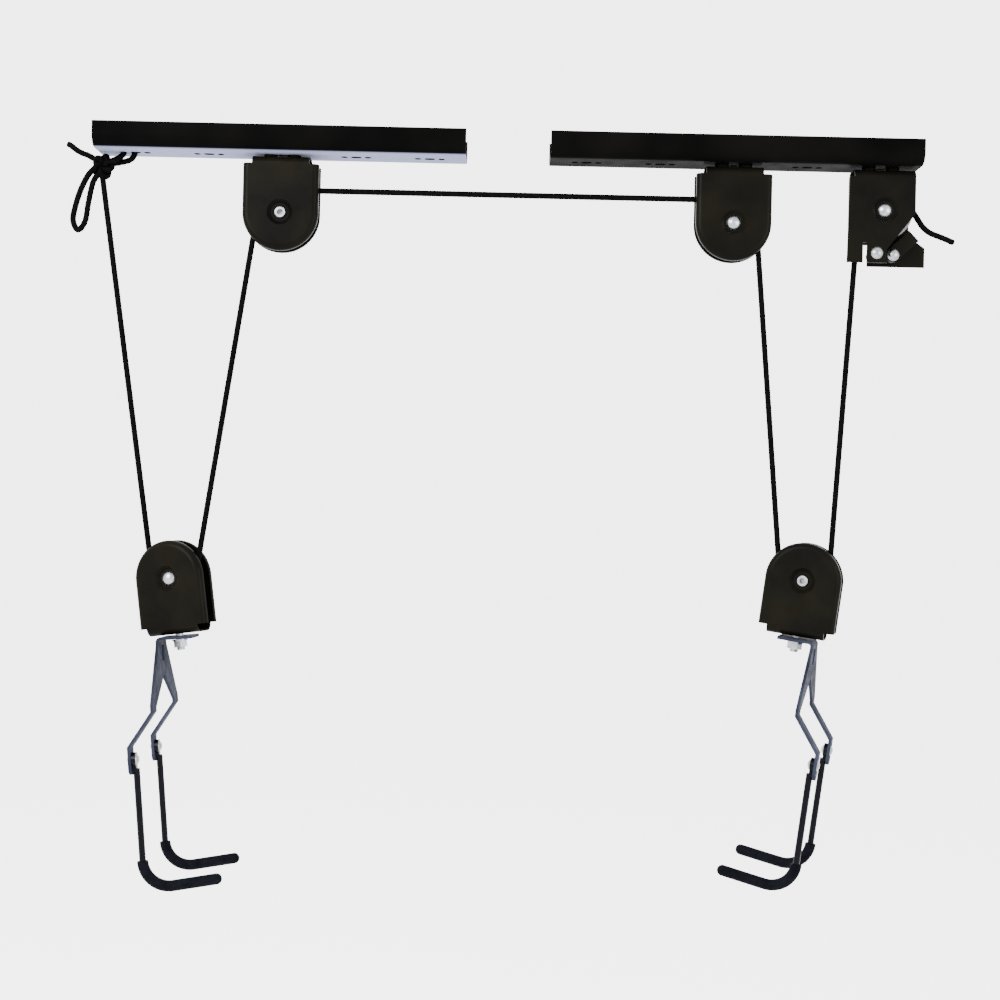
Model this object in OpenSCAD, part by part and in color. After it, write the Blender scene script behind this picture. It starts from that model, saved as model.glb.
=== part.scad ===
// Ceiling mounted pulley rack: two ceiling rails, five pulley wheels, one rope and two hooked lifting blocks.
// Millimetres. Origin at the middle of the rack on the ceiling, X along the rails, Z up.

/* [Rails] */
// Length of each ceiling rail
rail_length = 375; // [300:5:450]
// Width of a rail across its web
rail_width = 60; // [40:1:80]
// Depth of a rail below the ceiling
rail_depth = 25; // [15:1:40]
// Sheet of the rails
rail_sheet = 1.8; // [1:0.1:3]
// Outer radius of the two lower edges
rail_bend = 12; // [4:1:14]
// Distance from the middle of the rack to the middle of each rail
rail_offset = 230; // [200:1:300]
// Distance between slot groups along a rail
slot_pitch = 75; // [50:1:90]

/* [Pulley housings] */
// Width of a housing and of its arch
housing_width = 77; // [60:1:90]
// Overall thickness of a housing
housing_depth = 28; // [22:1:36]
// Height from the axle to the outside of the bridge
housing_rise = 57; // [45:1:70]
// Sheet of the housings
housing_sheet = 1.5; // [1:0.1:3]
// Gap left between rail and housing by the spacers
rail_gap = 2.5; // [1:0.1:5]
// Height from the lock axle to the outside of its bridge
lock_rise = 41; // [36:1:50]
// Sideways place of the lock axle
lock_x = 383; // [376:1:390]

/* [Wheels and rope] */
// Outer radius of every wheel
wheel_radius = 29; // [24:1:32]
// Radius at which the middle of the rope runs
rope_run_radius = 24.5; // [20:0.5:27]
// Thickness of the rope
rope_diameter = 6; // [4:0.5:8]
// Thickness of the axle shanks
axle_diameter = 8; // [6:0.5:10]

/* [Lifting blocks] */
// Sideways place of the left wheel
left_block_x = -331.5; // [-350:0.5:-300]
// Sideways place of the right wheel
right_block_x = 311.5; // [300:0.5:350]
// Height of the left wheel below the ceiling
left_block_drop = 458; // [300:1:600]
// Height of the right wheel below the ceiling
right_block_drop = 446; // [300:1:600]
// Turn of both blocks about the vertical
block_yaw = -19.5; // [-40:0.5:40]
// Lean at which the left block hangs still
left_lean = 8.4; // [0:0.1:15]
// Lean at which the right block hangs still
right_lean = 7; // [0:0.1:15]
// Play of the left hanger on its bolt
left_hook_tilt = 3; // [0:0.1:4]
// Turn at which the left rods hang still on their rivets
left_rod_hang = -1.8; // [-5:0.1:5]
// Turn of the left hook on its swivel bolt
left_swivel = 19.5; // [-180:0.5:180]

/* [Hooks] */
// Sheet of the hanger
hanger_sheet = 3; // [2:0.1:4]
// Distance between the two rods
rod_spacing = 100; // [60:1:140]
// Thickness of the hook rods
rod_diameter = 6.5; // [5:0.5:9]
// Thickness of the rubber sleeves
sleeve_diameter = 11; // [8:0.5:14]
// Bend radius of the hook rods
hook_bend = 26; // [18:1:36]
// Straight length past the bend
hook_toe = 43; // [20:1:80]
// Turn of the bend
hook_turn = 95; // [80:1:120]

/* [Hidden] */
$fn = 48;
half_depth = housing_depth / 2;
arch = housing_width / 2;
top_axle_z = -rail_depth - rail_gap - housing_rise;
lock_axle_z = -rail_depth - rail_gap - lock_rise;
rope_radius = rope_diameter / 2;
run = rope_run_radius;
lean_run = run * cos(block_yaw);
rod_x = 39.5;
rivet_z = -175;
bend_z = -275.5;
swivel_drop = 59.5;
left_block = [left_block_x, 0, -left_block_drop];
right_block = [right_block_x, 0, -right_block_drop];
left_top = [-rail_offset, 0, top_axle_z];
right_top = [rail_offset, 0, top_axle_z];
lock_top = [lock_x, 0, lock_axle_z];
knot_place = [-413, 0, -38];
black = [0.07, 0.07, 0.08];
rubber = [0.16, 0.17, 0.2];
slate = [0.4, 0.43, 0.52];
zinc = [0.82, 0.83, 0.85];
cord_black = [0.1, 0.1, 0.11];

// Lean of a fall that crosses from one side of a wheel to the other side of the next
function fall_lean(across, up, reach) = atan2(across, up) - asin(reach / norm([across, up]));
lean_2 = fall_lean(left_top[0] - left_block[0], left_top[2] - left_block[2], run + lean_run);
lean_3 = fall_lean(right_block[0] - right_top[0], right_top[2] - right_block[2], run + lean_run);
lean_4 = fall_lean(lock_top[0] - right_block[0], lock_top[2] - right_block[2], run + lean_run);
fall_1_top = [-414, 0, -46];
lean_1 = atan2(left_block[0] - lean_run - fall_1_top[0], fall_1_top[2] - left_block[2]);

// Place on a block wheel, side 1 for right and -1 for left, where a fall with this lean meets it
function on_block(centre, side, lean) =
    centre + run * [side * cos(lean) * cos(block_yaw), side * cos(lean) * sin(block_yaw), -sin(lean)];

// Direction of a path at one of its points
function heading(path, i) =
    let (a = path[max(i - 1, 0)], b = path[min(i + 1, len(path) - 1)]) (b - a) / norm(b - a);

// Ring of points round one point of a path
function tube_ring(path, i, r, sides) =
    let (
        t = heading(path, i),
        up = cross(t, [0, 1, 0]),
        n = up / norm(up),
        s = cross(t, n)
    )
    [for (k = [0:sides - 1]) path[i] + r * (cos(360 * k / sides) * n + sin(360 * k / sides) * s)];

// Point on a smooth curve through four neighbouring points
function curve_point(a, b, c, d, t) =
    0.5 * (2 * b + (c - a) * t + (2 * a - 5 * b + 4 * c - d) * t * t + (3 * b - a - 3 * c + d) * t * t * t);

// Path with extra points between the given ones
function smooth_path(p, steps) = concat(
    [for (i = [0:len(p) - 2], k = [0:steps - 1])
        curve_point(p[max(i - 1, 0)], p[i], p[i + 1], p[min(i + 2, len(p) - 1)], k / steps)],
    [p[len(p) - 1]]
);

// Round tube of rope along a path
module rope_tube(path, r = rope_radius, sides = 10) {
    rings = len(path);
    points = [for (i = [0:rings - 1]) each tube_ring(path, i, r, sides)];
    walls = [for (i = [0:rings - 2], k = [0:sides - 1])
        each [
            [i * sides + k, (i + 1) * sides + k, (i + 1) * sides + (k + 1) % sides],
            [i * sides + k, (i + 1) * sides + (k + 1) % sides, i * sides + (k + 1) % sides]
        ]];
    start = [for (k = [1:sides - 2]) [0, k, k + 1]];
    end = [for (k = [1:sides - 2]) [(rings - 1) * sides, (rings - 1) * sides + k + 1, (rings - 1) * sides + k]];
    polyhedron(points, concat(walls, start, end), convexity = 6);
}

// Straight round bar between two points
module bar_between(a, b, r) {
    d = b - a;
    translate(a)
        rotate([0, acos(d[2] / norm(d)), atan2(d[1], d[0])])
            cylinder(h = norm(d), r = r);
}

// Straight fall of rope that starts just clear of the bight under a block wheel
module fall_between(low, high) {
    bar_between(low + 0.6 * (high - low) / norm(high - low), high, rope_radius);
}

// Cylinder or cone along +Y from the origin
module along_y(h, r1, r2) {
    rotate([-90, 0, 0]) cylinder(h = h, r1 = r1, r2 = r2);
}

// Cylinder centred on the origin along Y
module across_y(h, r) {
    rotate([90, 0, 0]) cylinder(h = h, r = r, center = true);
}

// Dome-shaped head standing on the XY plane
module dome(r, h) {
    ball = (r * r + h * h) / (2 * h);
    intersection() {
        translate([0, 0, h - ball]) sphere(r = ball);
        cylinder(h = h + 1, r = r);
    }
}

// Flat plate in the XZ plane from y to y + thickness
module upright_plate(y, thickness) {
    translate([0, y + thickness, 0]) rotate([90, 0, 0]) linear_extrude(thickness) children();
}

// Arc of rope round a wheel axis, from one angle to another, measured from +X towards +Z
module rope_arc(from, to) {
    rotate([90, 0, 0]) rotate([0, 0, from]) rotate_extrude(angle = to - from)
        translate([run, 0]) circle(r = rope_radius);
}

// Section of a rail, open at the top
module rail_section() {
    half = rail_width / 2;
    inner = rail_bend - rail_sheet;
    for (side = [-1, 1]) {
        translate([side * (half - rail_sheet / 2), -(rail_depth - rail_bend) / 2])
            square([rail_sheet, rail_depth - rail_bend], center = true);
        translate([side * (half - rail_bend), -(rail_depth - rail_bend)])
            intersection() {
                difference() {
                    circle(r = rail_bend);
                    circle(r = inner);
                }
                translate([side * rail_bend / 2, -rail_bend / 2]) square(rail_bend, center = true);
            }
    }
    translate([0, -rail_depth + rail_sheet / 2])
        square([rail_width - 2 * rail_bend, rail_sheet], center = true);
}

// One rail with its five groups of slots
module rail_body() {
    difference() {
        rotate([90, 0, 90]) linear_extrude(rail_length, center = true) rail_section();
        for (i = [-2:2]) translate([i * slot_pitch, 0, -rail_depth - 1]) {
            for (side = [-1, 1]) translate([side * 12, 0, 0]) cylinder(h = 4, r = 3.4);
            translate([-2, 0, 0]) cylinder(h = 4, r = 3.5);
            translate([2, 0, 0]) cylinder(h = 4, r = 3.5);
            translate([-2, -3.5, 0]) cube([4, 7, 4]);
        }
    }
}

// Half section of a cheek, x across the cheek, y outwards
module cheek_section() {
    fillet = 6;
    translate([0, half_depth - housing_sheet]) square([arch - fillet, housing_sheet]);
    translate([arch - fillet, half_depth - fillet])
        intersection() {
            difference() {
                circle(r = fillet);
                circle(r = fillet - housing_sheet);
            }
            square(fillet + 1);
        }
    translate([arch - housing_sheet, 6]) square([housing_sheet, half_depth - fillet - 6]);
}

// Bent strip that joins two cheeks over the top
module bridge_strip(left, right, rise) {
    bend = 8;
    translate([left, 0, 0]) rotate([90, 0, 90]) linear_extrude(right - left) {
        for (side = [-1, 1])
            translate([side * (half_depth - bend), rise - bend])
                intersection() {
                    difference() {
                        circle(r = bend);
                        circle(r = bend - housing_sheet);
                    }
                    translate([side * bend / 2, bend / 2]) square(bend, center = true);
                }
        translate([0, rise - housing_sheet / 2])
            square([2 * (half_depth - bend), housing_sheet], center = true);
    }
}

// Material of the dished ring round an axle hole, on the +Y cheek
module dish_wall() {
    translate([0, half_depth - 5.5, 0]) along_y(4, 10.7, 14.2);
}

// Hollow of the dished ring round an axle hole, on the +Y cheek
module dish_hollow() {
    translate([0, half_depth - 4, 0]) along_y(4.02, 9.5, 13.02);
    translate([0, half_depth - 6, 0]) along_y(8, axle_diameter / 2 + 0.08, axle_diameter / 2 + 0.08);
}

// One cheek of a pulley housing with its rolled edge
module housing_cheek() {
    difference() {
        union() {
            rotate([-90, 0, 0]) rotate_extrude(angle = 180) cheek_section();
            linear_extrude(housing_rise - 8) {
                cheek_section();
                mirror([1, 0]) cheek_section();
            }
            dish_wall();
        }
        dish_hollow();
    }
}

// Pulley housing, bridge at the top, axle at the origin
module housing_body() {
    difference() {
        union() {
            housing_cheek();
            rotate([0, 0, 180]) housing_cheek();
            bridge_strip(-29, 29, housing_rise);
        }
        for (side = [-1, 1]) translate([side * 12, 0, housing_rise - 4]) cylinder(h = 8, r = 3.3);
        translate([0, 0, housing_rise - 4]) cylinder(h = 8, r = 4.3);
    }
}

// Grooved wheel on the Y axis
module wheel_body() {
    rotate([-90, 0, 0]) rotate_extrude() difference() {
        union() {
            translate([wheel_radius - 11, -7.5]) square([11, 15]);
            translate([8, -4.5]) square([11, 9]);
            translate([axle_diameter / 2 + 0.08, -8.3]) square([6, 16.6]);
        }
        translate([run + 0.1, 0]) circle(r = rope_radius + 0.5);
        polygon([
            [run + 0.1, -rope_radius - 0.5],
            [wheel_radius + 0.1, -6.7],
            [wheel_radius + 0.1, 6.7],
            [run + 0.1, rope_radius + 0.5]
        ]);
    }
}

// Axle pin with its domed head towards -Y and its hollow flared end towards +Y
module axle_pin() {
    floor_y = half_depth - 4;
    difference() {
        union() {
            across_y(2 * floor_y, axle_diameter / 2);
            translate([0, -floor_y, 0]) rotate([90, 0, 0]) dome(7.5, 4);
            translate([0, floor_y, 0]) along_y(2.2, 5.85, 5.2);
        }
        translate([0, floor_y - 6, 0]) along_y(10, 3, 3);
    }
}

// Hexagonal prism, flat to flat
module hexagon(flats, h) {
    cylinder(h = h, d = flats / cos(30), $fn = 6);
}

// Outline of the back cheek of the lock housing
module lock_back_outline() {
    polygon([[-32, lock_rise - 8], [30, lock_rise - 8], [30, -22], [47, -34], [47, -54], [-12, -54],
        [-12, -32], [-32, -32]]);
}

// Outline of the front cheek of the lock housing
module lock_front_outline() {
    polygon([[-37, lock_rise - 8], [30, lock_rise - 8], [30, -4], [2, -40], [2, -54], [-18.4, -54],
        [-18.4, -34], [-22.4, -34], [-22.4, -54], [-38.5, -54]]);
}

// Lock housing with its axle at the origin
module lock_body() {
    difference() {
        union() {
            upright_plate(-half_depth, housing_sheet) lock_front_outline();
            upright_plate(half_depth - housing_sheet, housing_sheet) lock_back_outline();
            bridge_strip(-32, 30, lock_rise);
            dish_wall();
            rotate([0, 0, 180]) dish_wall();
        }
        dish_hollow();
        rotate([0, 0, 180]) dish_hollow();
        for (side = [-1, 1]) translate([-3 + side * 12, 0, lock_rise - 4]) cylinder(h = 8, r = 3.3);
        translate([-8, 0, -44]) across_y(40, 3.1);
        translate([11, 10, -44]) along_y(8, 3.1, 3.1);
    }
}

// Places of the six housing bolts on the underside of the rails
module at_housing_bolts() {
    for (x = [-rail_offset, rail_offset, rail_offset + 2 * slot_pitch], side = [-1, 1])
        translate([x + side * 12, 0, 0]) children();
}

// Frames of the two lifting blocks, axle at the origin
module at_left_block() {
    translate(left_block) rotate([0, 0, block_yaw]) children();
}
module at_right_block() {
    translate(right_block) rotate([0, 0, block_yaw]) children();
}

// Frames that lean with the hanging blocks
module in_left_block() {
    at_left_block() rotate([0, -left_lean, 0]) children();
}
module in_right_block() {
    at_right_block() rotate([0, right_lean, 0]) children();
}

// Frame of the left hook, tilted and turned on its swivel bolt
module in_left_hook() {
    in_left_block() translate([0, 0, -swivel_drop]) rotate([0, left_hook_tilt, 0])
        translate([0, 0, swivel_drop]) rotate([0, 0, 180 + left_swivel]) children();
}

// Rod of the left hook at one side, turned about its rivet
module hang_left_rod(y) {
    in_left_hook() translate([0, y, rivet_z]) rotate([left_rod_hang, 0, 0])
        translate([0, -y, -rivet_z]) children();
}

// Bolt that a hanger swivels on, its head inside the block
module swivel_bolt_body() {
    translate([0, 0, -housing_rise + housing_sheet]) hexagon(13, 4.5);
    translate([0, 0, -housing_rise - 16.5]) cylinder(h = 16.5 + housing_sheet, r = 4);
}

// Washer and nut under the hanger tab
module swivel_nut_body() {
    difference() {
        union() {
            translate([0, 0, -housing_rise - 7]) cylinder(h = 1.4, r = 8);
            translate([0, 0, -housing_rise - 13.5]) hexagon(13, 6.5);
        }
        translate([0, 0, -housing_rise - 20]) cylinder(h = 30, r = 4);
    }
}

// Outline of the hanger plate, x along the hanger width, y upwards
module hanger_outline() {
    half = rod_spacing / 2;
    difference() {
        polygon([[-18, -60], [18, -60], [18, -66], [half + 8, -123], [half + 8, -130], [half - 8, -130],
            [half - 8, -126], [0, -97], [-half + 8, -126], [-half + 8, -130], [-half - 8, -130],
            [-half - 8, -123], [-18, -66]]);
        translate([-5.5, -83]) square([11, 16]);
    }
}

// Hanger bent from one sheet: tab under the block, forked plate and two rod tabs
module hanger_body() {
    tab_z = -housing_rise - 1.8;
    half = rod_spacing / 2;
    difference() {
        union() {
            translate([-16, -18, tab_z - hanger_sheet]) cube([32, 36, hanger_sheet]);
            translate([16, 18, tab_z - 5]) rotate([90, 0, 0]) intersection() {
                difference() {
                    cylinder(h = 36, r = 5);
                    translate([0, 0, -1]) cylinder(h = 40, r = 5 - hanger_sheet);
                }
                cube([6, 6, 40]);
            }
            translate([21 - hanger_sheet, 0, 0]) rotate([90, 0, 90])
                linear_extrude(hanger_sheet) intersection() {
                    hanger_outline();
                    translate([-100, -200]) square([200, 200 + tab_z - 5]);
                }
            for (side = [-1, 1]) translate([0, side * half, 0]) {
                translate([0, 7.5, 0]) rotate([90, 0, 0]) linear_extrude(15)
                    polygon([[18, -128], [21, -128], [21, -129.2], [46, -162.3], [46, -168], [43, -168],
                        [43, -163.3], [18, -130.2]]);
                translate([43, 0, 0]) rotate([90, 0, 90]) linear_extrude(hanger_sheet) {
                    translate([-7.5, -182.5]) square([15, 16]);
                    translate([0, -182.5]) circle(r = 7.5);
                }
            }
        }
        translate([0, 0, -80]) cylinder(h = 40, r = 4.35);
        for (side = [-1, 1]) translate([30, side * half, rivet_z]) rotate([0, 90, 0])
            cylinder(h = 30, r = 2.6);
    }
}

// Pair of rivets that hold the rods to the hanger
module hook_rivet_pair() {
    for (side = [-1, 1]) translate([0, side * rod_spacing / 2, rivet_z]) {
        translate([38.9, 0, 0]) rotate([0, -90, 0]) dome(5.5, 2.8);
        translate([38.9, 0, 0]) rotate([0, 90, 0]) cylinder(h = 7.1, r = 2.5);
        translate([46, 0, 0]) rotate([0, 90, 0]) dome(5.2, 2.2);
    }
}

// Rounded eye at the top of a rod, then the rod down to the hook bend
module rod_body(y) {
    translate([0, y, 0]) {
        difference() {
            union() {
                translate([39, 0, rivet_z]) rotate([0, 90, 0]) cylinder(h = 4, r = 7);
                translate([rod_x, 0, bend_z]) cylinder(h = rivet_z - 9 - bend_z, r = rod_diameter / 2);
                translate([39, -rod_diameter / 2, rivet_z - 12]) cube([3.7, rod_diameter, 12]);
            }
            translate([30, 0, rivet_z]) rotate([0, 90, 0]) cylinder(h = 20, r = 2.6);
        }
        hook_curve(rod_diameter / 2, hook_toe);
    }
}

// Round bar along the hook bend and its straight toe
module hook_curve(r, toe) {
    translate([rod_x - hook_bend, 0, bend_z]) rotate([90, 0, 0]) {
        rotate([0, 0, -hook_turn]) rotate_extrude(angle = hook_turn) translate([hook_bend, 0]) circle(r = r);
        rotate([0, 0, -hook_turn]) translate([hook_bend, 0, 0]) rotate([90, 0, 0]) cylinder(h = toe, r = r);
    }
}

// Rubber sleeve over the bend and toe of a rod
module sleeve_body(y) {
    translate([0, y, 0]) difference() {
        union() {
            hook_curve(sleeve_diameter / 2, hook_toe);
            translate([rod_x - hook_bend, 0, bend_z]) rotate([90, 0, 0]) rotate([0, 0, -hook_turn])
                translate([hook_bend, -hook_toe, 0]) sphere(r = sleeve_diameter / 2);
        }
        hook_curve(rod_diameter / 2, hook_toe);
    }
}

// Rails
module left_rail() color(black) translate([-rail_offset, 0, 0]) rail_body();
module right_rail() color(black) translate([rail_offset, 0, 0]) rail_body();

// Top housings, their axles and wheels
module left_top_housing() color(black) translate(left_top) housing_body();
module right_top_housing() color(black) translate(right_top) housing_body();
module lock_housing() color(black) translate(lock_top) lock_body();
module left_top_axle() color(zinc) translate(left_top) rotate([0, 0, 180]) axle_pin();
module right_top_axle() color(zinc) translate(right_top) axle_pin();
module lock_axle() color(zinc) translate(lock_top) axle_pin();
module left_top_wheel() color(black) translate(left_top) wheel_body();
module right_top_wheel() color(black) translate(right_top) wheel_body();
module lock_wheel() color(black) translate(lock_top) wheel_body();

// Fasteners between rails and housings
module housing_bolts() color(zinc) at_housing_bolts() {
    translate([0, 0, -rail_depth - rail_gap - housing_sheet - 4]) hexagon(10, 4);
    translate([0, 0, -rail_depth - rail_gap - housing_sheet - 1])
        cylinder(h = rail_gap + housing_sheet + rail_sheet + 8, r = 3);
}
module housing_nuts() color(zinc) at_housing_bolts() difference() {
    translate([0, 0, -rail_depth + rail_sheet]) hexagon(10, 5);
    translate([0, 0, -rail_depth]) cylinder(h = 10, r = 3);
}
module housing_spacers() color(black) at_housing_bolts() difference() {
    translate([0, 0, -rail_depth - rail_gap]) cylinder(h = rail_gap, r = 7);
    translate([0, 0, -rail_depth - rail_gap - 1]) cylinder(h = rail_gap + 2, r = 3);
}

// Rope lock
module lock_cam() color(black) translate(lock_top + [11, 0, -44]) rotate([0, -44, 0]) difference() {
    union() {
        across_y(8, 7.25);
        translate([0, -4, -7.25]) cube([28.5, 8, 14.5]);
    }
    across_y(20, 3.08);
    for (i = [0:3]) translate([14 + i * 4, 0, 7.9]) rotate([0, 45, 0]) cube([2.4, 20, 2.4], center = true);
}
module lock_cam_rivet() color(zinc) translate(lock_top + [11, 0, -44]) {
    translate([0, -4.2, 0]) along_y(18.2, 3, 3);
    translate([0, 4.2, 0]) along_y(8.3, 4.5, 4.5);
    translate([0, -4.2, 0]) rotate([90, 0, 0]) dome(6.3, 3.4);
    translate([0, half_depth, 0]) rotate([-90, 0, 0]) dome(5, 2);
}
module lock_stop_rivet() color(zinc) translate(lock_top + [-8, 0, -44]) {
    across_y(housing_depth, 3);
    across_y(housing_depth - 2 * housing_sheet, 4.5);
    translate([0, -half_depth, 0]) rotate([90, 0, 0]) dome(6.3, 3.4);
    translate([0, half_depth, 0]) rotate([-90, 0, 0]) dome(5, 2);
}

// Rope tied to the left end of the left rail
anchor_points = [[-407, -3, -36], [-399, -2.4, -32.8], [-392.8, -0.5, -27.5], [-392, 0, -22.5],
    [-390.6, 0, -18.6], [-386.5, 0, -17], [-382.4, 0, -18.6], [-381, 0, -22.5], [-381.6, 0.6, -27.7],
    [-386, 3.4, -31.8], [-393, 5, -33.7], [-400, 4.2, -35.4], [-407, 3.2, -37]];
bow_points = [[-419, -5, -42], [-426, -6, -50], [-433, -6, -64], [-438, -6, -80], [-441, -5, -96],
    [-436, -4, -106], [-429, -4, -97], [-426, -4, -78], [-422, -4, -58], [-417.5, -2, -48.5]];
tail_points = [[-415, 1, -38], [-420, 2, -34], [-428, 2, -29], [-434, 1, -27], [-440, 0, -24], [-446, 0, -19.5],
    [-449, 0, -18]];
module rope_anchor_loop() color(cord_black) rope_tube(smooth_path(anchor_points, 2));
module rope_knot() color(cord_black) translate(knot_place) {
    sphere(r = 7);
    for (turn = [-40, 20, 80]) rotate([0, turn, 0])
        rotate_extrude() translate([6.4, 0]) circle(r = 2.9);
}
module rope_bow() color(cord_black) rope_tube(smooth_path(bow_points, 3));
module rope_tail() color(cord_black) rope_tube(smooth_path(tail_points, 3));

// Rope falls, runs and bights
module rope_fall_1() color(cord_black) fall_between(on_block(left_block, -1, lean_1), fall_1_top);
module rope_left_bight() color(cord_black) at_left_block() rope_arc(-180 + lean_1, -lean_2);
module rope_fall_2() color(cord_black)
    fall_between(on_block(left_block, 1, lean_2), left_top + run * [-cos(lean_2), 0, sin(lean_2)]);
module rope_top_run() color(cord_black) {
    translate(left_top) rope_arc(90, 180 - lean_2);
    bar_between(left_top + [-0.5, 0, run], right_top + [0.5, 0, run], rope_radius - 0.02);
    translate(right_top) rope_arc(lean_3, 90);
}
module rope_fall_3() color(cord_black)
    fall_between(on_block(right_block, -1, lean_3), right_top + run * [cos(lean_3), 0, sin(lean_3)]);
module rope_right_bight() color(cord_black) at_right_block() rope_arc(-180 + lean_3, -lean_4);
module rope_fall_4() color(cord_black)
    fall_between(on_block(right_block, 1, lean_4), lock_top + run * [-cos(lean_4), 0, sin(lean_4)]);
module rope_lock_wrap() color(cord_black) translate(lock_top) rope_arc(40, 180 - lean_4);
pull_points = [lock_top + run * [cos(40), 0, sin(40)], [409, 0, -61.5], [414.5, 0, -68.6], [419, -1, -76],
    [424, -2, -83.5], [431, -2, -89], [440, -2, -92.5], [448, -2, -95.5], [455, -2, -98.5]];
module rope_pull_end() color(cord_black) rope_tube(smooth_path(pull_points, 3));

// Left lifting block and hook
module left_block_axle() color(zinc) at_left_block() axle_pin();
module left_block_wheel() color(black) at_left_block() wheel_body();
module left_block_housing() color(black) in_left_block() rotate([0, 180, 0]) housing_body();
module left_swivel_bolt() color(zinc) in_left_block() swivel_bolt_body();
module left_swivel_nut() color(zinc) in_left_block() swivel_nut_body();
module left_hanger() color(slate) in_left_hook() hanger_body();
module left_hook_rivets() color(zinc) in_left_hook() hook_rivet_pair();
module left_front_rod() color(black) hang_left_rod(rod_spacing / 2) rod_body(rod_spacing / 2);
module left_back_rod() color(black) hang_left_rod(-rod_spacing / 2) rod_body(-rod_spacing / 2);
module left_front_sleeve() color(rubber) hang_left_rod(rod_spacing / 2) sleeve_body(rod_spacing / 2);
module left_back_sleeve() color(rubber) hang_left_rod(-rod_spacing / 2) sleeve_body(-rod_spacing / 2);

// Right lifting block and hook
module right_block_axle() color(zinc) at_right_block() rotate([0, 0, 180]) axle_pin();
module right_block_wheel() color(black) at_right_block() wheel_body();
module right_block_housing() color(black) in_right_block() rotate([0, 180, 0]) housing_body();
module right_swivel_bolt() color(zinc) in_right_block() swivel_bolt_body();
module right_swivel_nut() color(zinc) in_right_block() swivel_nut_body();
module right_hanger() color(slate) in_right_block() hanger_body();
module right_hook_rivets() color(zinc) in_right_block() hook_rivet_pair();
module right_front_rod() color(black) in_right_block() rod_body(-rod_spacing / 2);
module right_back_rod() color(black) in_right_block() rod_body(rod_spacing / 2);
module right_front_sleeve() color(rubber) in_right_block() sleeve_body(-rod_spacing / 2);
module right_back_sleeve() color(rubber) in_right_block() sleeve_body(rod_spacing / 2);

left_rail();
right_rail();
left_top_housing();
right_top_housing();
lock_housing();
left_top_axle();
right_top_axle();
lock_axle();
left_top_wheel();
right_top_wheel();
lock_wheel();
housing_bolts();
housing_nuts();
housing_spacers();
lock_cam();
lock_cam_rivet();
lock_stop_rivet();
rope_anchor_loop();
rope_knot();
rope_bow();
rope_tail();
rope_fall_1();
rope_left_bight();
rope_fall_2();
rope_top_run();
rope_fall_3();
rope_right_bight();
rope_fall_4();
rope_lock_wrap();
rope_pull_end();
left_block_axle();
left_block_wheel();
left_block_housing();
left_swivel_bolt();
left_swivel_nut();
left_hanger();
left_hook_rivets();
left_front_rod();
left_back_rod();
left_front_sleeve();
left_back_sleeve();
right_block_axle();
right_block_wheel();
right_block_housing();
right_swivel_bolt();
right_swivel_nut();
right_hanger();
right_hook_rivets();
right_front_rod();
right_back_rod();
right_front_sleeve();
right_back_sleeve();
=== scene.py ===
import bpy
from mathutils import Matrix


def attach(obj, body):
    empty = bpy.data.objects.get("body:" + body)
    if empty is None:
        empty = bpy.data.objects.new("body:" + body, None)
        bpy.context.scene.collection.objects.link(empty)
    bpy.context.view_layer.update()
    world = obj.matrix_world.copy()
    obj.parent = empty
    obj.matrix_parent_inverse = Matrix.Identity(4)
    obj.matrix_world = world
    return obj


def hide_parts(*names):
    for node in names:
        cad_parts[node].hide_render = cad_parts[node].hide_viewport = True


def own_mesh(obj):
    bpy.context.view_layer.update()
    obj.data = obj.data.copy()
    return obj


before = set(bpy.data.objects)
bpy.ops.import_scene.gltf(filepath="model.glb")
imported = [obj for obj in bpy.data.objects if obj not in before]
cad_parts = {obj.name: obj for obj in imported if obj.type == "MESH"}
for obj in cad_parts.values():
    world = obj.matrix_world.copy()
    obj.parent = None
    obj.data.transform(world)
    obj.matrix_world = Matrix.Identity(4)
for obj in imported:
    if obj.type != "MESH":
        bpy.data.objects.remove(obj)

"""Looks of a ceiling mounted pulley rack.

The rack is two slotted ceiling rails with stamped pulley housings, one braided rope with a knot
and a rope lock, and two pulley blocks that carry sleeved double hooks. Sizes are in metres, in
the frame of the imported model.
"""

import logging
import math
from dataclasses import dataclass, field, replace
from enum import Enum
from typing import Sequence

import bmesh
import bpy
from mathutils import Matrix, Vector

log = logging.getLogger("pulley_rack")

MM = 0.001
Point = tuple[float, float, float]
Colour = tuple[float, float, float]


class Grain(Enum):
    """Kinds of fine surface texture."""

    ORANGE_PEEL = "orange_peel"
    BRUSHED = "brushed"
    PEBBLED = "pebbled"
    FIBROUS = "fibrous"


class FarEnd(Enum):
    BARE = "bare"
    OBJECT = "object"


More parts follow.
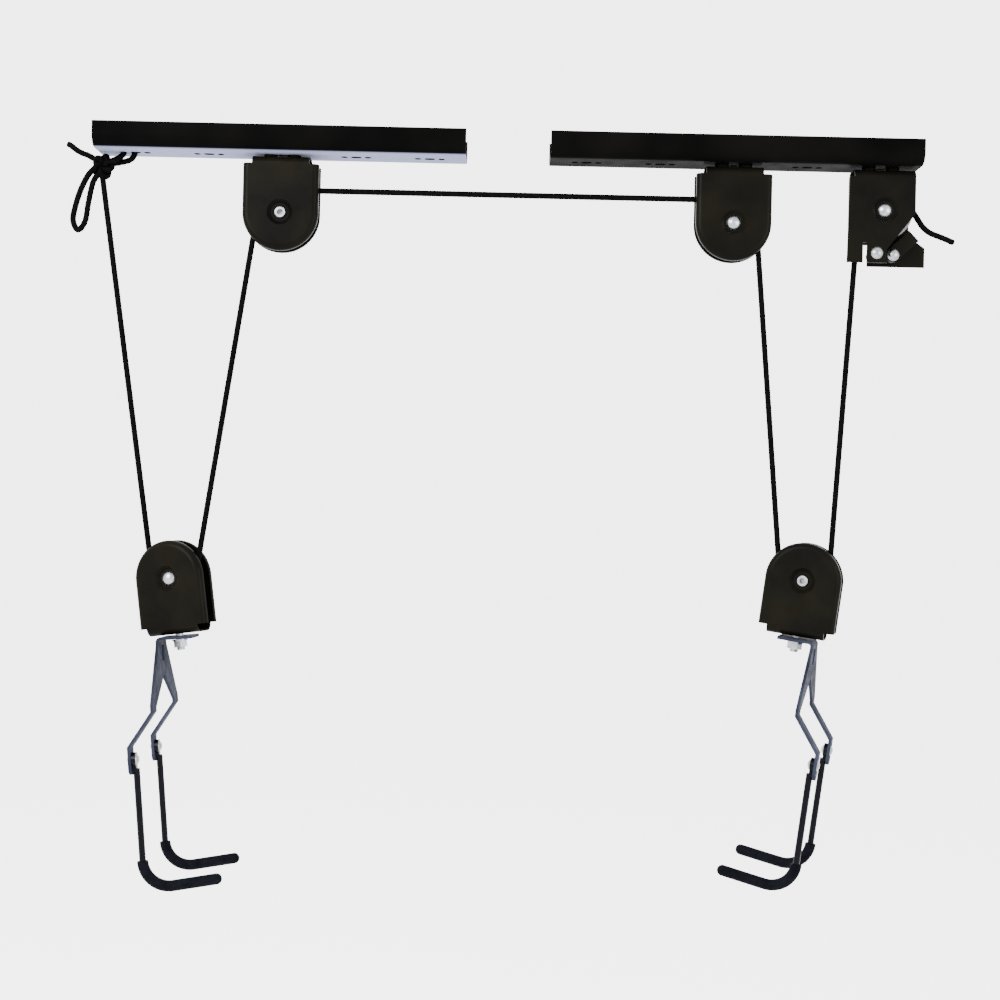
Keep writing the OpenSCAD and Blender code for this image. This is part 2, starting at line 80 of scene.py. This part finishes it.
@dataclass(frozen=True)
class Finish:
    """One surface finish, made as a node material.

    Attributes:
        name: Name of the material.
        base: Main colour, linear.
        tint: Second colour that drifts over the first in soft patches.
        roughness: Lowest and highest roughness.
        metallic: Share of metal.
        specular: Strength of the mirror part of a paint or plastic.
        grain: Kind of fine texture.
        grain_size: Size of the fine texture in metres.
        grain_depth: Height of the fine texture in metres.
        patch_size: Size of the colour patches in metres.
        painted_reflection_colour: Pale colour painted on faces looking down as a reflection of the
            room, or None.
    """

    name: str
    base: Colour
    tint: Colour
    roughness: tuple[float, float]
    metallic: float = 0.0
    specular: float = 0.5
    grain: Grain = Grain.ORANGE_PEEL
    grain_size: float = 0.002
    grain_depth: float = 0.00002
    patch_size: float = 0.06
    painted_reflection_colour: Colour | None = None

    def material(self) -> bpy.types.Material:
        """Builds the node material, or returns it if it is there already.

        Returns:
            The material of this finish.
        """
        found = bpy.data.materials.get(self.name)
        if found:
            return found
        material = bpy.data.materials.new(self.name)
        material.use_nodes = True
        tree = material.node_tree
        shader = tree.nodes["Principled BSDF"]
        shader.inputs["Metallic"].default_value = self.metallic
        shader.inputs["Specular IOR Level"].default_value = self.specular
        place = tree.nodes.new("ShaderNodeTexCoord")
        patches = self._noise(tree, place, self.patch_size, 3.0)
        colour = self._blend(tree, patches, self.base, self.tint)
        # Painted reflection: faces looking down take the pale colour, when one is set.
        if self.painted_reflection_colour:
            colour = self._paint_reflection_below(tree, colour)
        tree.links.new(colour, shader.inputs["Base Color"])
        smudges = self._noise(tree, place, self.patch_size * 0.3, 4.0)
        span = tree.nodes.new("ShaderNodeMapRange")
        span.inputs["From Min"].default_value = 0.35
        span.inputs["From Max"].default_value = 0.65
        span.inputs["To Min"].default_value = self.roughness[0]
        span.inputs["To Max"].default_value = self.roughness[1]
        tree.links.new(smudges, span.inputs["Value"])
        tree.links.new(span.outputs["Result"], shader.inputs["Roughness"])
        bump = tree.nodes.new("ShaderNodeBump")
        bump.inputs["Strength"].default_value = 1.0
        bump.inputs["Distance"].default_value = self.grain_depth
        tree.links.new(self._grain_height(tree, place), bump.inputs["Height"])
        tree.links.new(bump.outputs["Normal"], shader.inputs["Normal"])
        return material

    def _noise(
        self, tree: bpy.types.NodeTree, place: bpy.types.Node, size: float, detail: float
    ) -> bpy.types.NodeSocket:
        """Adds a noise of the given feature size.

        Args:
            tree: Node tree of the material.
            place: Texture coordinate node.
            size: Feature size in metres.
            detail: Number of octaves.

        Returns:
            The noise value, from 0 to 1.
        """
        noise = tree.nodes.new("ShaderNodeTexNoise")
        noise.inputs["Scale"].default_value = 1.0 / size
        noise.inputs["Detail"].default_value = detail
        tree.links.new(place.outputs["Object"], noise.inputs["Vector"])
        return noise.outputs["Fac"]

    def _blend(
        self, tree: bpy.types.NodeTree, factor: bpy.types.NodeSocket, low: Colour, high: Colour
    ) -> bpy.types.NodeSocket:
        """Blends two colours by a noise value.

        Args:
            tree: Node tree of the material.
            factor: Value that picks between the colours.
            low: Colour at low values.
            high: Colour at high values.

        Returns:
            The blended colour.
        """
        ramp = tree.nodes.new("ShaderNodeValToRGB")
        ramp.color_ramp.elements[0].position = 0.35
        ramp.color_ramp.elements[0].color = (*low, 1)
        ramp.color_ramp.elements[1].position = 0.68
        ramp.color_ramp.elements[1].color = (*high, 1)
        tree.links.new(factor, ramp.inputs["Fac"])
        return ramp.outputs["Color"]

    def _paint_reflection_below(
        self, tree: bpy.types.NodeTree, colour: bpy.types.NodeSocket
    ) -> bpy.types.NodeSocket:
        """Paints a reflection on faces that look straight down, as a flat pale colour.

        Args:
            tree: Node tree of the material.
            colour: Colour of all other faces.

        Returns:
            The mixed colour.
        """
        geometry = tree.nodes.new("ShaderNodeNewGeometry")
        split = tree.nodes.new("ShaderNodeSeparateXYZ")
        tree.links.new(geometry.outputs["Normal"], split.inputs["Vector"])
        step = tree.nodes.new("ShaderNodeMapRange")
        step.inputs["From Min"].default_value = -0.9
        step.inputs["From Max"].default_value = -0.99
        tree.links.new(split.outputs["Z"], step.inputs["Value"])
        mix = tree.nodes.new("ShaderNodeMix")
        mix.data_type = "RGBA"
        tree.links.new(step.outputs["Result"], mix.inputs[0])
        tree.links.new(colour, mix.inputs[6])
        # The painted reflection colour of the downward faces.
        mix.inputs[7].default_value = (*self.painted_reflection_colour, 1)
        return mix.outputs[2]

    def _grain_height(
        self, tree: bpy.types.NodeTree, place: bpy.types.Node
    ) -> bpy.types.NodeSocket:
        """Adds the height pattern of the fine texture.

        Args:
            tree: Node tree of the material.
            place: Texture coordinate node.

        Returns:
            The height value.
        """
        if self.grain is Grain.PEBBLED:
            cells = tree.nodes.new("ShaderNodeTexVoronoi")
            cells.inputs["Scale"].default_value = 1.0 / self.grain_size
            tree.links.new(place.outputs["Object"], cells.inputs["Vector"])
            return cells.outputs["Distance"]
        if self.grain is Grain.BRUSHED:
            stretch = tree.nodes.new("ShaderNodeMapping")
            stretch.inputs["Scale"].default_value = (1.0, 1.0, 14.0)
            tree.links.new(place.outputs["Object"], stretch.inputs["Vector"])
            noise = tree.nodes.new("ShaderNodeTexNoise")
            noise.inputs["Scale"].default_value = 0.1 / self.grain_size
            tree.links.new(stretch.outputs["Vector"], noise.inputs["Vector"])
            return noise.outputs["Fac"]
        detail = 6.0 if self.grain is Grain.FIBROUS else 2.0
        return self._noise(tree, place, self.grain_size, detail)

    def dress(self, *pieces: bpy.types.Object) -> None:
        """Puts the finish on whole pieces.

        Args:
            *pieces: Objects that take the finish.
        """
        for piece in pieces:
            piece.data.materials.clear()
            piece.data.materials.append(self.material())


ENAMEL = Finish(
    "black_gloss_enamel", (0.0013, 0.0012, 0.001), (0.0026, 0.0023, 0.0014), (0.24, 0.4),
    specular=0.012, grain_size=0.0016, grain_depth=0.000012, patch_size=0.05,
)
RAIL_ENAMEL = Finish(
    "rail_gloss_enamel", (0.0007, 0.0007, 0.0007), (0.0015, 0.0014, 0.0013), (0.24, 0.38),
    specular=0.001, grain_size=0.0016, grain_depth=0.00001, patch_size=0.08,
)
# Left rail paint with a painted reflection: its downward faces are pale lavender, standing in for the
# bright room mirrored by glossy black paint.
RAIL_ENAMEL_PAINTED_REFLECTION = replace(
    RAIL_ENAMEL, name="rail_enamel_painted_reflection", painted_reflection_colour=(0.125, 0.135, 0.2),
)
# Hanger plates: blue-grey painted reflection, standing in for bluish light mirrored by the plates.
HANGER_PAINTED_REFLECTION = Finish(
    "hanger_painted_reflection_blue", (0.0045, 0.0054, 0.0098), (0.0135, 0.0148, 0.0228), (0.4, 0.55),
    specular=0.004, grain_size=0.001, grain_depth=0.000012, patch_size=0.03,
)
ROD_PAINT = Finish(
    "rod_black_gloss", (0.0003, 0.00035, 0.0008), (0.0008, 0.0009, 0.002), (0.16, 0.3),
    specular=0.04, grain_size=0.0012, grain_depth=0.00001, patch_size=0.02,
)
RUBBER = Finish(
    "sleeve_rubber", (0.0004, 0.0005, 0.001), (0.0013, 0.0015, 0.0028), (0.62, 0.82),
    specular=0.02, grain=Grain.PEBBLED, grain_size=0.0009, grain_depth=0.00006, patch_size=0.012,
)
ZINC = Finish(
    "bright_zinc", (0.13, 0.137, 0.146), (0.22, 0.226, 0.235), (0.22, 0.36),
    metallic=1.0, grain=Grain.BRUSHED, grain_size=0.0004, grain_depth=0.00001, patch_size=0.006,
)
NYLON = Finish(
    "black_nylon", (0.0005, 0.0005, 0.0006), (0.001, 0.001, 0.0012), (0.45, 0.6),
    specular=0.02, grain_size=0.0008, grain_depth=0.00002, patch_size=0.01,
)
ROPE_YARN = Finish(
    "braided_rope_yarn", (0.0002, 0.0002, 0.00025), (0.0009, 0.0009, 0.001), (0.6, 0.85),
    specular=0.012, grain=Grain.FIBROUS, grain_size=0.0005, grain_depth=0.00012,
    patch_size=0.004,
)


class Studio:
    """Camera, floor and lights."""

    lens = 54.7
    camera_place: Point = (-0.0005, -1.55, -0.371)
    roll = 1.3
    floor_height = -1.35
    floor_reach = 14.0
    floor_colour = (0.985, 0.985, 0.985, 1)
    room_brightness = 4.6
    aim: Point = (0.0, 0.0, -0.35)

    def camera(self) -> None:
        """Places the camera level, looking along +Y, with a slight roll."""
        data = bpy.data.cameras.new("camera")
        data.lens = self.lens
        data.sensor_width = 36.0
        camera = bpy.data.objects.new("camera", data)
        bpy.context.scene.collection.objects.link(camera)
        level = Matrix.Rotation(math.radians(90), 4, "X")
        turned = level @ Matrix.Rotation(math.radians(self.roll), 4, "Z")
        camera.matrix_world = Matrix.Translation(self.camera_place) @ turned
        bpy.context.scene.camera = camera

    def surroundings(self) -> None:
        """Builds the pale floor and the even light of the room."""
        world = bpy.data.worlds.new("pale_room")
        world.use_nodes = True
        world.node_tree.nodes["Background"].inputs["Color"].default_value = (1, 1, 1, 1)
        world.node_tree.nodes["Background"].inputs["Strength"].default_value = self.room_brightness
        bpy.context.scene.world = world
        mesh = bpy.data.meshes.new("floor")
        reach = self.floor_reach
        mesh.from_pydata(
            [(-reach, -reach, self.floor_height), (reach, -reach, self.floor_height),
             (reach, reach, self.floor_height), (-reach, reach, self.floor_height)],
            [], [(0, 1, 2, 3)],
        )
        floor = bpy.data.objects.new("floor", mesh)
        bpy.context.scene.collection.objects.link(floor)
        paint = bpy.data.materials.new("pale_floor")
        paint.use_nodes = True
        shader = paint.node_tree.nodes["Principled BSDF"]
        shader.inputs["Base Color"].default_value = self.floor_colour
        shader.inputs["Roughness"].default_value = 0.9
        mesh.materials.append(paint)
        self._softbox("key_light", (-1.3, -1.7, 0.55), 1.4, 190.0)
        self._softbox("fill_light", (1.6, -1.4, -0.1), 1.2, 60.0)

    def _softbox(self, name: str, place: Point, size: float, power: float) -> None:
        """Adds one soft square light aimed at the middle of the rack.

        Args:
            name: Name of the light.
            place: Where it stands.
            size: Side of the square.
            power: Power in watts.
        """
        data = bpy.data.lights.new(name, "AREA")
        data.size = size
        data.energy = power
        light = bpy.data.objects.new(name, data)
        bpy.context.scene.collection.objects.link(light)
        turn = (Vector(self.aim) - Vector(place)).to_track_quat("-Z", "Y")
        light.matrix_world = Matrix.Translation(place) @ turn.to_matrix().to_4x4()


def smooth_path(points: Sequence[Vector], steps: int) -> list[Vector]:
    """Runs a smooth curve through the given points.

    Args:
        points: Points in order.
        steps: Number of pieces between two points.

    Returns:
        The points of the curve.
    """
    out = []
    last = len(points) - 1
    for i in range(last):
        a, b = points[max(i - 1, 0)], points[i]
        c, d = points[i + 1], points[min(i + 2, last)]
        for k in range(steps):
            t = k / steps
            out.append(0.5 * (2 * b + (c - a) * t + (2 * a - 5 * b + 4 * c - d) * t**2
                              + (3 * b - a - 3 * c + d) * t**3))
    out.append(points[last].copy())
    return out


def even_path(points: Sequence[Vector], spacing: float) -> list[Vector]:
    """Spaces the points of a path evenly.

    Args:
        points: Points of the path.
        spacing: Wanted distance between points.

    Returns:
        The same path with evenly spaced points.
    """
    lengths = [0.0]
    for a, b in zip(points, points[1:]):
        lengths.append(lengths[-1] + (b - a).length)
    count = max(2, round(lengths[-1] / spacing))
    out, k = [], 0
    for i in range(count + 1):
        at = lengths[-1] * i / count
        while k < len(points) - 2 and lengths[k + 1] < at:
            k += 1
        share = (at - lengths[k]) / max(lengths[k + 1] - lengths[k], 1e-9)
        out.append(points[k].lerp(points[k + 1], share))
    return out


def path_length(points: Sequence[Vector]) -> float:
    """Length of a path."""
    return sum((b - a).length for a, b in zip(points, points[1:]))


def metres(points: Sequence[Point]) -> list[Vector]:
    """Points given in millimetres, in metres."""
    return [Vector(p) * MM for p in points]


@dataclass
class BraidedRope:
    """Braided rope, swept along paths.

    Attributes:
        radius: Radius over the crowns of the braid.
        plait_depth: How far the valleys of the braid lie below its crowns.
        plaits: Number of plaits round the rope.
        pitch: Length of one plait along the rope.
        around: Points round the rope.
        spacing: Distance between rings.
    """

    radius: float = 3.05 * MM
    plait_depth: float = 0.42 * MM
    plaits: int = 8
    pitch: float = 5.2 * MM
    around: int = 16
    spacing: float = 0.8 * MM

    def _height(self, angle: float, at: float) -> float:
        """Radius of the braid at one place.

        Args:
            angle: Angle round the rope.
            at: Distance along the rope.

        Returns:
            The radius there.
        """
        along = 2 * math.pi * at / self.pitch
        first = math.cos(angle * self.plaits / 2 + along)
        second = math.cos(angle * self.plaits / 2 - along)
        crown = max(first, second)
        return self.radius - self.plait_depth * (1 - crown) / 2

    def sweep(self, name: str, path: Sequence[Vector]) -> bpy.types.Object:
        """Builds one stretch of rope.

        Args:
            name: Name of the piece.
            path: Its middle line.

        Returns:
            The rope object, dressed in yarn.
        """
        line = even_path(path, self.spacing)
        mesh = bpy.data.meshes.new(name)
        work = bmesh.new()
        rings, side = [], None
        for i, point in enumerate(line):
            ahead = (line[min(i + 1, len(line) - 1)] - line[max(i - 1, 0)]).normalized()
            if side is None:
                side = ahead.orthogonal().normalized()
            side = (side - ahead * side.dot(ahead)).normalized()
            other = ahead.cross(side)
            ring = []
            for k in range(self.around):
                angle = 2 * math.pi * k / self.around
                reach = self._height(angle, i * self.spacing)
                offset = side * math.cos(angle) + other * math.sin(angle)
                ring.append(work.verts.new(point + offset * reach))
            rings.append(ring)
        for first, second in zip(rings, rings[1:]):
            self._band(work, first, second)
        self._cap(work, rings[0], line[0], line[0] - line[1], True)
        self._cap(work, rings[-1], line[-1], line[-1] - line[-2], False)
        work.to_mesh(mesh)
        work.free()
        for face in mesh.polygons:
            face.use_smooth = True
        rope = bpy.data.objects.new(name, mesh)
        bpy.context.scene.collection.objects.link(rope)
        ROPE_YARN.dress(rope)
        return rope

    def _band(self, work: bmesh.types.BMesh, first: list, second: list) -> None:
        """Joins two rings with quads.

        Args:
            work: Mesh under construction.
            first: Points of the ring behind.
            second: Points of the ring ahead.
        """
        for k in range(self.around):
            n = (k + 1) % self.around
            work.faces.new((first[k], first[n], second[n], second[k]))

    def _cap(
        self, work: bmesh.types.BMesh, ring: list, centre: Vector, out: Vector, start: bool
    ) -> None:
        """Closes an end with a small rounded cap.

        Args:
            work: Mesh under construction.
            ring: Points of the end ring.
            centre: Middle of the end ring.
            out: Direction out of the end.
            start: Whether this is the first end.
        """
        out = out.normalized()
        inner = [
            work.verts.new(centre + (v.co - centre) * 0.7 + out * self.radius * 0.3) for v in ring
        ]
        tip = work.verts.new(centre + out * self.radius * 0.42)
        for k in range(self.around):
            n = (k + 1) % self.around
            side = (ring[n], ring[k], inner[k], inner[n])
            top = (inner[n], inner[k], tip)
            work.faces.new(side if start else side[::-1])
            work.faces.new(top if start else top[::-1])


@dataclass
class WheelPlace:
    """Where a wheel stands and how it is turned about the vertical.

    Attributes:
        centre: Middle of the wheel.
        yaw: Turn about the vertical in degrees.
        run: Radius at which the rope runs.
    """

    centre: Vector
    yaw: float = 0.0
    run: float = 24.5 * MM

    def rim(self, angle: float) -> Vector:
        """Point on the rope's middle line at an angle from +X towards +Z, in degrees."""
        a = math.radians(angle)
        flat = Vector((self.run * math.cos(a), 0.0, self.run * math.sin(a)))
        return self.centre + Matrix.Rotation(math.radians(self.yaw), 3, "Z") @ flat

    def arc(self, start: float, end: float, steps: int = 40) -> list[Vector]:
        """Points of the rope along the rim between two angles."""
        return [self.rim(start + (end - start) * i / steps) for i in range(steps + 1)]


@dataclass
class RopeWork:
    """The whole rope: tied end, falls, bights, top run, lock wrap and pull end.

    Attributes:
        lift: Travel of the blocks. Not used.
        block_yaw: Turn of both blocks about the vertical in degrees.
        left_top: Wheel in the left top housing.
        right_top: Wheel in the right top housing.
        lock: Wheel in the lock housing.
        left_block: Wheel in the left block.
        right_block: Wheel in the right block.
        knot: Middle of the knot.
        knot_ring: Radius of the ring that the knot winds round.
        knot_tube: How far the knot's strand winds out from that ring.
        knot_stretch: Height of the knot over its width.
        knot_drop: How far the strand lies below the middle.
        knot_steps: Number of points along the knot's strand.
        rope: Rope that all stretches are made of.
    """

    lift: float = 0.25
    block_yaw: float = -19.5
    left_top: WheelPlace = field(default_factory=lambda: WheelPlace(Vector((-0.230, 0, -0.0845))))
    right_top: WheelPlace = field(default_factory=lambda: WheelPlace(Vector((0.230, 0, -0.0845))))
    lock: WheelPlace = field(default_factory=lambda: WheelPlace(Vector((0.383, 0, -0.0685))))
    left_block: WheelPlace = field(
        default_factory=lambda: WheelPlace(Vector((-0.3315, 0, -0.458)), -19.5))
    right_block: WheelPlace = field(
        default_factory=lambda: WheelPlace(Vector((0.3115, 0, -0.446)), -19.5))
    knot: Vector = field(default_factory=lambda: Vector((-0.413, 0, -0.038)))
    knot_ring: float = 5.8 * MM
    knot_tube: float = 3.3 * MM
    knot_stretch: float = 1.2
    knot_drop: float = 2.0 * MM
    knot_steps: int = 240
    rope: BraidedRope = field(default_factory=BraidedRope)

    ANCHOR = [(-407, -3, -36), (-399, -2.4, -32.8), (-392.8, -0.5, -27.5), (-392, 0, -22.5),
              (-390.6, 0, -18.6), (-386.5, 0, -17), (-382.4, 0, -18.6), (-381, 0, -22.5),
              (-381.6, 0.6, -27.7), (-386, 3.4, -31.8), (-393, 5, -33.7), (-400, 4.2, -35.4),
              (-407, 3.2, -37)]
    BOW = [(-419, -5, -42), (-426, -6, -50), (-433, -6, -64), (-438, -6, -80), (-441, -5, -96),
           (-436, -4, -106), (-429, -4, -97), (-426, -4, -78), (-422, -4, -58), (-417.5, -2, -48.5)]
    TAIL = [(-415, 1, -38), (-420, 2, -34), (-428, 2, -29), (-434, 1, -27), (-440, 0, -24),
            (-446, 0, -19.5), (-449, 0, -18)]
    PULL = [(409, 0, -61.5), (414.5, 0, -68.6), (419, -1, -76), (424, -2, -83.5), (431, -2, -89),
            (440, -2, -92.5), (448, -2, -95.5), (455, -2, -98.5)]

    def lean(self, lower: WheelPlace, upper: WheelPlace) -> float:
        """Lean from the vertical of a fall that crosses between two wheels, in degrees."""
        across = abs(upper.centre.x - lower.centre.x)
        up = upper.centre.z - lower.centre.z
        reach = upper.run + lower.run * math.cos(math.radians(self.block_yaw))
        return math.degrees(math.atan2(across, up) - math.asin(reach / math.hypot(across, up)))

    def free_ends(self) -> None:
        """Builds the pull end, the bow and the tail, which hang free."""
        pull = [self.lock.rim(40), *metres(self.PULL)]
        self._free("pull_end", "rope_pull_end", smooth_path(pull, 6))
        self._free("anchor_bow", "rope_bow", smooth_path(metres(self.BOW), 8))
        self._free("anchor_tail", "rope_tail", smooth_path(metres(self.TAIL), 6))

    def _free(self, name: str, node: str, line: list[Vector]) -> None:
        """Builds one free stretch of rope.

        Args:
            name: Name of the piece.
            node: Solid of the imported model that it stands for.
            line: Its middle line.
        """
        piece = self.rope.sweep(name, line)
        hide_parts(node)
        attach(piece, "root")
        [tuple(p) for p in even_path(line, 2 * MM)]
        log.info("%s: %.0f mm of free rope", name, path_length(line) / MM)

    def _fixed(self, name: str, node: str, line: Sequence[Vector], body: str) -> bpy.types.Object:
        """Builds a stretch of rope that keeps its shape.

        Args:
            name: Name of the piece.
            node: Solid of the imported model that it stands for.
            line: Its middle line.
            body: Body that it moves with.

        Returns:
            The rope object.
        """
        piece = self.rope.sweep(name, line)
        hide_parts(node)
        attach(piece, body)
        log.info("%s: %.0f mm of rope", name, path_length(line) / MM)
        return piece

    def _fall(self, number: int, bottom: Vector, top: Vector) -> None:
        """Builds one straight fall.

        Args:
            number: Number of the fall, from the tied end.
            bottom: Where it leaves the block wheel.
            top: Where it meets the knot or a top wheel.
        """
        piece = self._fixed(f"fall_{number}", f"rope_fall_{number}", [bottom, top], "root")
        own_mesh(piece)

    def runs(self) -> None:
        """Builds the falls, the bights under the block wheels and the runs over the top wheels."""
        lean_2 = self.lean(self.left_block, self.left_top)
        lean_3 = self.lean(self.right_block, self.right_top)
        lean_4 = self.lean(self.right_block, self.lock)
        fall_1_top = Vector((-0.414, 0, -0.046))
        reach = self.left_block.run * math.cos(math.radians(self.block_yaw))
        lean_1 = math.degrees(math.atan2(
            self.left_block.centre.x - reach - fall_1_top.x, fall_1_top.z - self.left_block.centre.z))
        self._fall(1, self.left_block.rim(180 + lean_1), fall_1_top)
        self._fall(2, self.left_block.rim(-lean_2), self.left_top.rim(180 - lean_2))
        self._fall(3, self.right_block.rim(180 + lean_3), self.right_top.rim(lean_3))
        self._fall(4, self.right_block.rim(-lean_4), self.lock.rim(180 - lean_4))
        self._fixed("left_bight", "rope_left_bight",
                    self.left_block.arc(-180 + lean_1, -lean_2), "left_carrier")
        self._fixed("right_bight", "rope_right_bight",
                    self.right_block.arc(-180 + lean_3, -lean_4), "right_carrier")
        top = self.left_top.arc(180 - lean_2, 90) + self.right_top.arc(90, lean_3)
        self._fixed("top_run", "rope_top_run", top, "root")
        self._fixed("lock_wrap", "rope_lock_wrap", self.lock.arc(180 - lean_4, 40), "root")

    def anchor(self) -> None:
        """Builds the loop through the rail holes and the knot below it."""
        self._fixed("anchor_loop", "rope_anchor_loop", smooth_path(metres(self.ANCHOR), 8), "root")
        line = []
        for i in range(self.knot_steps + 1):
            t = 2 * math.pi * i / self.knot_steps
            reach = self.knot_ring + self.knot_tube * math.cos(5 * t)
            line.append(self.knot + Vector((
                reach * math.cos(2 * t),
                self.knot_tube * math.sin(5 * t),
                self.knot_stretch * reach * math.sin(2 * t) - self.knot_drop,
            )))
        self._fixed("anchor_knot", "rope_knot", line, "root")


@dataclass
class CarriedPart:
    """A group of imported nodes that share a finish.

    Attributes:
        nodes: Names of the nodes.
        finish: Their finish.
    """

    nodes: Sequence[str]
    finish: Finish

    def dress(self) -> None:
        """Smooths and paints the nodes."""
        for name in self.nodes:
            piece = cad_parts[name]
            for face in piece.data.polygons:
                face.use_smooth = True
            self.finish.dress(piece)
            log.info("%s wears %s", name, self.finish.name)


class CeilingRails:
    """The two slotted rails and the fasteners on them."""

    def dress(self) -> None:
        """Paints the rails, the left one with a painted reflection underneath, and plates their
        fasteners.
        """
        # The left rail wears the painted reflection underneath; the right rail wears plain paint.
        CarriedPart(["left_rail"], RAIL_ENAMEL_PAINTED_REFLECTION).dress()
        CarriedPart(["right_rail"], RAIL_ENAMEL).dress()
        CarriedPart(["housing_bolts", "housing_nuts"], ZINC).dress()
        CarriedPart(["housing_spacers"], ENAMEL).dress()


class TopHousings:
    """The fixed pulley housings, their wheels and the rope lock."""

    def dress(self) -> None:
        """Paints housings, wheels and lock."""
        CarriedPart(["left_top_housing", "right_top_housing", "lock_housing"], ENAMEL).dress()
        CarriedPart(["left_top_wheel", "right_top_wheel", "lock_wheel"], NYLON).dress()
        CarriedPart(["left_top_axle", "right_top_axle", "lock_axle", "lock_cam_rivet",
                     "lock_stop_rivet"], ZINC).dress()
        CarriedPart(["lock_cam"], ENAMEL).dress()


@dataclass
class LiftingBlock:
    """One pulley block with its hook.

    Attributes:
        side: Left or right.
    """

    side: str

    def dress(self) -> None:
        """Paints the block, its hook and its fasteners."""
        s = self.side
        CarriedPart([f"{s}_block_housing"], ENAMEL).dress()
        CarriedPart([f"{s}_block_wheel"], NYLON).dress()
        CarriedPart([f"{s}_block_axle", f"{s}_swivel_bolt", f"{s}_swivel_nut",
                     f"{s}_hook_rivets"], ZINC).dress()
        # The hanger wears the blue-grey painted reflection colour.
        CarriedPart([f"{s}_hanger"], HANGER_PAINTED_REFLECTION).dress()
        CarriedPart([f"{s}_front_rod", f"{s}_back_rod"], ROD_PAINT).dress()
        CarriedPart([f"{s}_front_sleeve", f"{s}_back_sleeve"], RUBBER).dress()


def main() -> None:
    """Builds the scene piece by piece."""
    logging.basicConfig(level=logging.INFO, format="%(message)s")
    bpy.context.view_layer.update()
    studio = Studio()
    studio.camera()
    rope = RopeWork()
    rope.free_ends()
    rope.runs()
    rope.anchor()
    CeilingRails().dress()
    TopHousings().dress()
    LiftingBlock("left").dress()
    LiftingBlock("right").dress()
    studio.surroundings()


if __name__ == "__main__":
    main()
